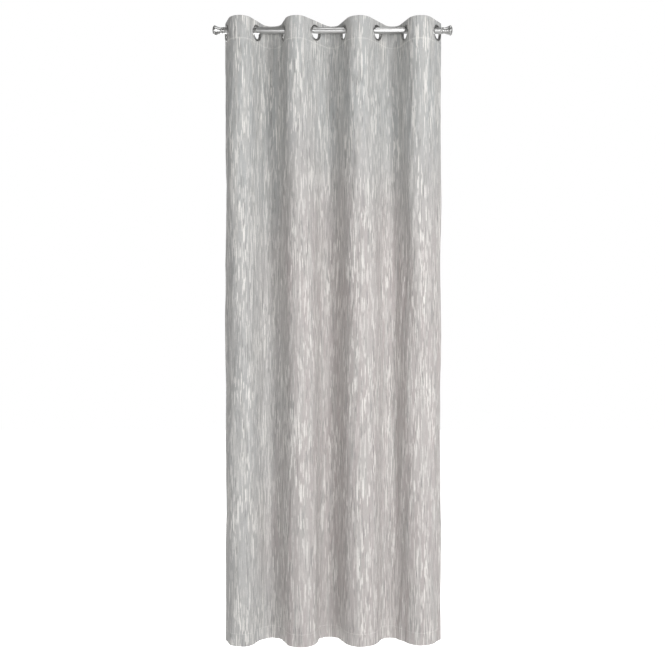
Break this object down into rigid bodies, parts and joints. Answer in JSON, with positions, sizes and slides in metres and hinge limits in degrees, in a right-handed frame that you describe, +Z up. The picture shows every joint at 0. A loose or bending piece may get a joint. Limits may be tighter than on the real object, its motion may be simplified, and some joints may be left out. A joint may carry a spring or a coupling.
{
  "type": "eyelet curtain panel",
  "caption": "Full-length fabric curtain panel with metal eyelets in a stiffened heading, hung in soft folds on a short metal rod with trumpet finials.",
  "frame": {"origin": "middle of the rod's axis, where the rod rests in its brackets", "axes": "+X along the rod to the viewer's right, +Y from the curtain's front to its back, +Z up"},
  "size_m": [0.9656, 0.1366, 2.5],
  "materials": {
    "curtain_fabric": "matt slub weave, grey with ivory streaks",
    "heading_buckram": "stiff non-woven strip",
    "eyelet_nickel": "satin nickel",
    "finial_nickel": "satin nickel, brighter than the rod",
    "rod_steel": "satin brushed steel"
  },
  "bodies": {
    "rod": {"rod_tube": "rod_steel", "rod_collar_left": "finial_nickel", "rod_collar_right": "finial_nickel"},
    "finial_left": {"finial_left": "finial_nickel"},
    "finial_right": {"finial_right": "finial_nickel"},
    "flank_1": {"cloth_flank_1": "curtain_fabric", "cloth_heading_1": "curtain_fabric", "heading_stiffener_1": "heading_buckram", "eyelet_front_1": "eyelet_nickel", "eyelet_back_1": "eyelet_nickel"},
    "flank_2": {"cloth_flank_2": "curtain_fabric", "cloth_heading_2": "curtain_fabric", "heading_stiffener_2": "heading_buckram", "eyelet_front_2": "eyelet_nickel", "eyelet_back_2": "eyelet_nickel"},
    "flank_3": {"cloth_flank_3": "curtain_fabric", "cloth_heading_3": "curtain_fabric", "heading_stiffener_3": "heading_buckram", "eyelet_front_3": "eyelet_nickel", "eyelet_back_3": "eyelet_nickel"},
    "flank_4": {"cloth_flank_4": "curtain_fabric", "cloth_heading_4": "curtain_fabric", "heading_stiffener_4": "heading_buckram", "eyelet_front_4": "eyelet_nickel", "eyelet_back_4": "eyelet_nickel"},
    "flank_5": {"cloth_flank_5": "curtain_fabric", "cloth_heading_5": "curtain_fabric", "heading_stiffener_5": "heading_buckram", "eyelet_front_5": "eyelet_nickel", "eyelet_back_5": "eyelet_nickel"},
    "flank_6": {"cloth_flank_6": "curtain_fabric", "cloth_heading_6": "curtain_fabric", "heading_stiffener_6": "heading_buckram", "eyelet_front_6": "eyelet_nickel", "eyelet_back_6": "eyelet_nickel"},
    "flank_7": {"cloth_flank_7": "curtain_fabric", "cloth_heading_7": "curtain_fabric", "heading_stiffener_7": "heading_buckram", "eyelet_front_7": "eyelet_nickel", "eyelet_back_7": "eyelet_nickel"},
    "flank_8": {"cloth_flank_8": "curtain_fabric", "cloth_heading_8": "curtain_fabric", "heading_stiffener_8": "heading_buckram", "eyelet_front_8": "eyelet_nickel", "eyelet_back_8": "eyelet_nickel"}
  },
  "joints": [
    {"name": "finial_left_pull", "type": "slide", "parent": "rod", "child": "finial_left", "axis": [-1, 0, 0], "range_m": [0, 0.034]},
    {"name": "finial_right_pull", "type": "slide", "parent": "rod", "child": "finial_right", "axis": [1, 0, 0], "range_m": [0, 0.034]},
    {"name": "gather", "type": "hinge", "parent": "rod", "child": "flank_1", "pos_m": [-0.423, 0, -0.01091], "axis": [0, 0, -1], "range_deg": [0, 26]},
    {"name": "fold_1", "type": "hinge", "parent": "flank_1", "child": "flank_2", "pos_m": [-0.365, -0.06476, -0.01091], "axis": [0, 0, 1], "range_deg": [0, 52]},
    {"name": "fold_2", "type": "hinge", "parent": "flank_2", "child": "flank_3", "pos_m": [-0.251, 0.06622, -0.01091], "axis": [0, 0, -1], "range_deg": [0, 52]},
    {"name": "fold_3", "type": "hinge", "parent": "flank_3", "child": "flank_4", "pos_m": [-0.133, -0.06236, -0.01091], "axis": [0, 0, 1], "range_deg": [0, 52]},
    {"name": "fold_4", "type": "hinge", "parent": "flank_4", "child": "flank_5", "pos_m": [-0.012, 0.06527, -0.01091], "axis": [0, 0, -1], "range_deg": [0, 52]},
    {"name": "fold_5", "type": "hinge", "parent": "flank_5", "child": "flank_6", "pos_m": [0.1125, -0.06214, -0.01091], "axis": [0, 0, 1], "range_deg": [0, 52]},
    {"name": "fold_6", "type": "hinge", "parent": "flank_6", "child": "flank_7", "pos_m": [0.236, 0.06591, -0.01091], "axis": [0, 0, -1], "range_deg": [0, 52]},
    {"name": "fold_7", "type": "hinge", "parent": "flank_7", "child": "flank_8", "pos_m": [0.3565, -0.06256, -0.01091], "axis": [0, 0, 1], "range_deg": [0, 52]}
  ],
  "couplings": [
    {"joint": "fold_1", "follows": "gather", "ratio": 2},
    {"joint": "fold_2", "follows": "gather", "ratio": 2},
    {"joint": "fold_3", "follows": "gather", "ratio": 2},
    {"joint": "fold_4", "follows": "gather", "ratio": 2},
    {"joint": "fold_5", "follows": "gather", "ratio": 2},
    {"joint": "fold_6", "follows": "gather", "ratio": 2},
    {"joint": "fold_7", "follows": "gather", "ratio": 2}
  ]
}
